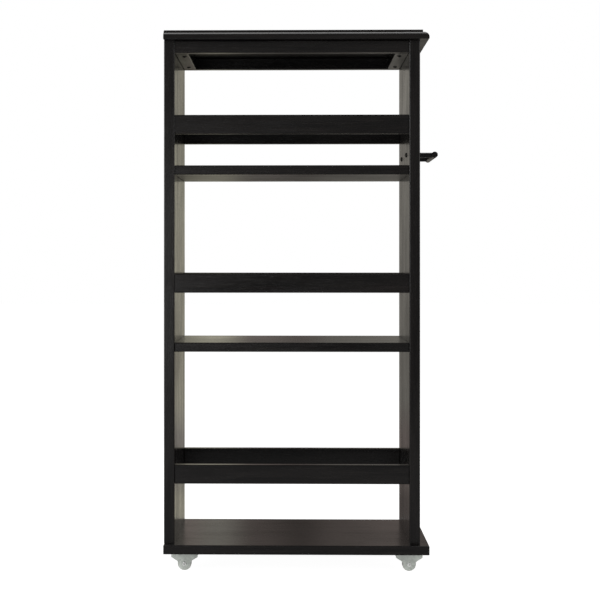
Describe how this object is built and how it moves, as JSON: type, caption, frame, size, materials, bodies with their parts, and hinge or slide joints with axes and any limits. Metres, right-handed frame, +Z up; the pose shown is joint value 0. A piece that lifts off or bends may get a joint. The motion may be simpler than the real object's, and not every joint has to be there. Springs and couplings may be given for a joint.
{
  "type": "kitchen island cart",
  "caption": "Slim open rolling kitchen cart: solid end panels, moulded top, shelves between guard rails, a pull bar on one end and fixed casters.",
  "frame": {"origin": "on the floor, under the middle of the overall box", "axes": "+Z up; +X along the cart, towards the end with the pull bar; -Y towards the front, the long side whose top and base overhang"},
  "size_m": [0.466, 0.2454, 0.914],
  "materials": {
    "espresso_lacquer": "satin lacquer over wood, near black",
    "zinc_plate": "zinc plated, dull",
    "nylon_tread": "pale grey nylon",
    "black_metal": "satin black",
    "zinc_steel": "bright zinc plated",
    "beech": "plain, fluted dowel stock",
    "cap_plastic": "matte, near black"
  },
  "bodies": {
    "frame": {"top_board": "espresso_lacquer", "left_end_panel": "espresso_lacquer", "right_end_panel": "espresso_lacquer", "base_board": "espresso_lacquer", "lower_shelf": "espresso_lacquer", "upper_shelf": "espresso_lacquer", "front_apron": "espresso_lacquer", "back_apron": "espresso_lacquer", "left_cleat": "espresso_lacquer", "right_cleat": "espresso_lacquer", "front_lower_rail": "espresso_lacquer", "back_lower_rail": "espresso_lacquer", "front_middle_rail": "espresso_lacquer", "back_middle_rail": "espresso_lacquer", "front_upper_rail": "espresso_lacquer", "back_upper_rail": "espresso_lacquer", "caster_bracket_front_left": "zinc_plate", "caster_bracket_front_right": "zinc_plate", "caster_bracket_back_left": "zinc_plate", "caster_bracket_back_right": "zinc_plate", "caster_axle_front_left": "zinc_steel", "caster_axle_front_right": "zinc_steel", "caster_axle_back_left": "zinc_steel", "caster_axle_back_right": "zinc_steel", "caster_screws": "zinc_steel", "pull_bar": "black_metal", "pull_front_post": "black_metal", "pull_back_post": "black_metal", "pull_screws": "black_metal", "shelf_screws": "zinc_steel", "rail_screws": "zinc_steel", "apron_screws": "zinc_steel", "base_screws": "zinc_steel", "cleat_top_screws": "black_metal", "cleat_side_screws": "black_metal", "rail_dowels": "beech", "base_dowels": "beech", "left_screw_caps": "cap_plastic", "right_screw_caps": "cap_plastic"},
    "front_left_wheel": {"caster_wheel_front_left": "nylon_tread"},
    "front_right_wheel": {"caster_wheel_front_right": "nylon_tread"},
    "back_left_wheel": {"caster_wheel_back_left": "nylon_tread"},
    "back_right_wheel": {"caster_wheel_back_right": "nylon_tread"}
  },
  "joints": [
    {"name": "front_left_wheel_spin", "type": "hinge", "parent": "frame", "child": "front_left_wheel", "pos_m": [-0.2, -0.07775, 0.0115], "axis": [0, 1, 0], "continuous": true},
    {"name": "front_right_wheel_spin", "type": "hinge", "parent": "frame", "child": "front_right_wheel", "pos_m": [0.1815, -0.07775, 0.0115], "axis": [0, 1, 0], "continuous": true},
    {"name": "back_left_wheel_spin", "type": "hinge", "parent": "frame", "child": "back_left_wheel", "pos_m": [-0.2, 0.07775, 0.0115], "axis": [0, 1, 0], "continuous": true},
    {"name": "back_right_wheel_spin", "type": "hinge", "parent": "frame", "child": "back_right_wheel", "pos_m": [0.1815, 0.07775, 0.0115], "axis": [0, 1, 0], "continuous": true}
  ]
}
